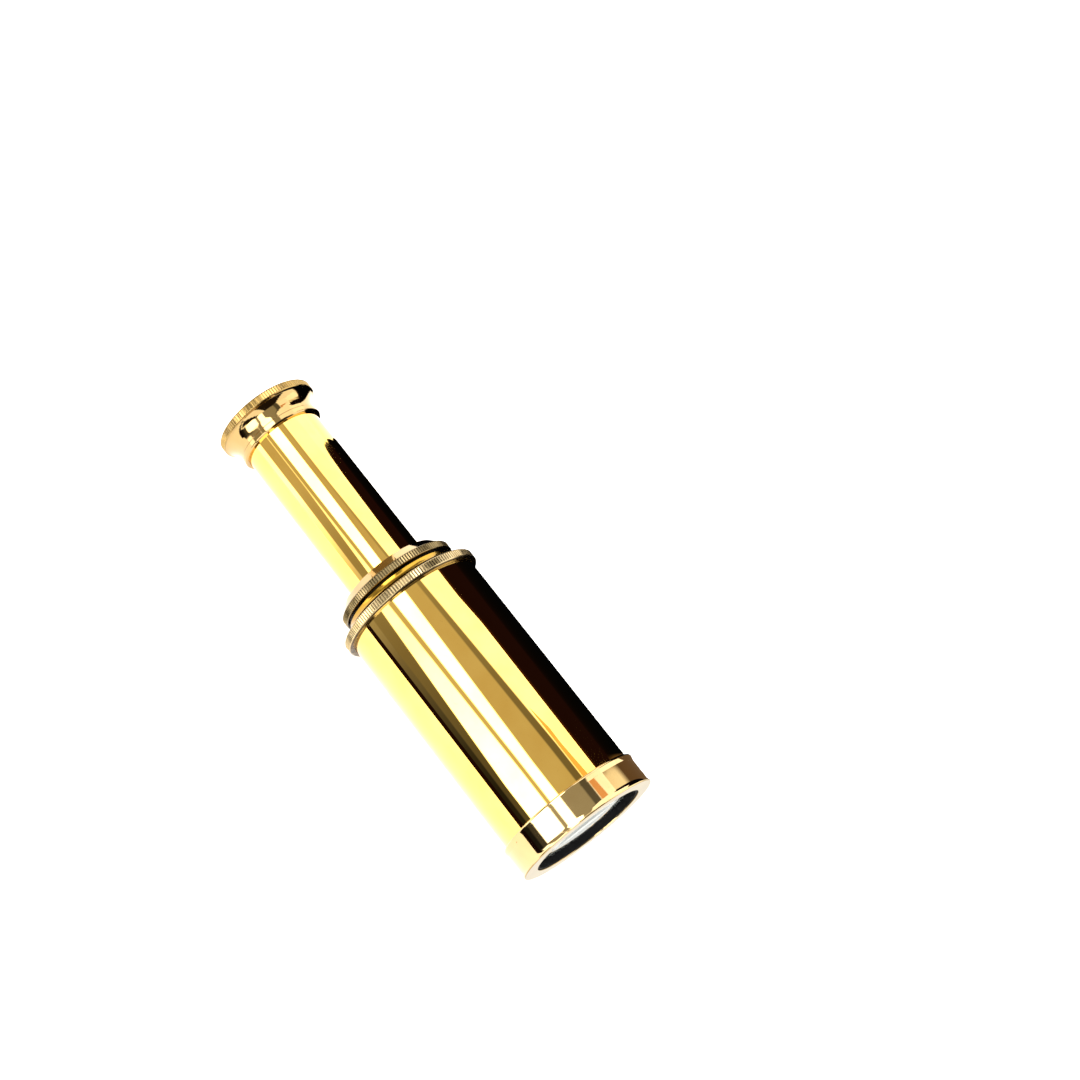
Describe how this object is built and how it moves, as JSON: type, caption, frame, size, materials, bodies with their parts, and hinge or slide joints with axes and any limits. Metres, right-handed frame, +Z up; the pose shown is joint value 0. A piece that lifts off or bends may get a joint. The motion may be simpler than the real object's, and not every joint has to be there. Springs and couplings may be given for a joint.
{
  "type": "pocket telescope",
  "caption": "Small brass hand telescope with nested draw tubes, knurled collars, a flared eyecup and a plain front bezel around a glass objective, lying on its side.",
  "frame": {"origin": "on the surface the telescope lies on, under the middle of its length", "axes": "+X along the optical axis towards the objective, +Z up, +Y across the tube to the left when seen from the eyecup"},
  "size_m": [0.119, 0.0342, 0.0343],
  "materials": {
    "polished_brass": "mirror polished",
    "knurled_brass": "turned and knurled, slightly dulled",
    "plain_brass": "as turned",
    "blackened_brass": "matt black against stray light",
    "lining_felt": "pressed felt",
    "lens_glass": "polished, uncoated"
  },
  "bodies": {
    "main_barrel": {"barrel_tube": "polished_brass", "barrel_collar": "knurled_brass", "objective_bezel": "polished_brass", "objective_cell": "blackened_brass", "objective_crown_lens": "lens_glass", "objective_flint_lens": "lens_glass", "objective_retaining_ring": "blackened_brass"},
    "barrel_lining": {"barrel_collar_lining": "lining_felt"},
    "middle_draw": {"middle_tube": "polished_brass", "middle_collar": "knurled_brass", "middle_stop_ring": "plain_brass"},
    "middle_lining": {"middle_collar_lining": "lining_felt"},
    "eyepiece_draw": {"eyepiece_tube": "polished_brass", "eyepiece_stop_ring": "plain_brass", "eyecup": "polished_brass", "eyepiece_cell": "blackened_brass", "eye_lens": "lens_glass", "eye_lens_ring": "blackened_brass", "field_lens": "lens_glass", "field_lens_ring": "blackened_brass", "field_stop": "blackened_brass", "erector_cell": "blackened_brass", "erector_rear_lens": "lens_glass", "erector_rear_ring": "blackened_brass", "erector_front_lens": "lens_glass", "erector_front_ring": "blackened_brass", "erector_stop": "blackened_brass"}
  },
  "joints": [
    {"name": "middle_draw_turn", "type": "hinge", "parent": "main_barrel", "child": "barrel_lining", "pos_m": [-0.00245, 0, 0.01715], "axis": [1, 0, 0], "continuous": true},
    {"name": "middle_draw_slide", "type": "slide", "parent": "barrel_lining", "child": "middle_draw", "axis": [-1, 0, 0], "range_m": [0, 0.04]},
    {"name": "eyepiece_draw_turn", "type": "hinge", "parent": "middle_draw", "child": "middle_lining", "pos_m": [-0.00945, 0, 0.01715], "axis": [1, 0, 0], "continuous": true},
    {"name": "eyepiece_draw_slide", "type": "slide", "parent": "middle_lining", "child": "eyepiece_draw", "axis": [1, 0, 0], "range_m": [0, 0.0402]}
  ]
}
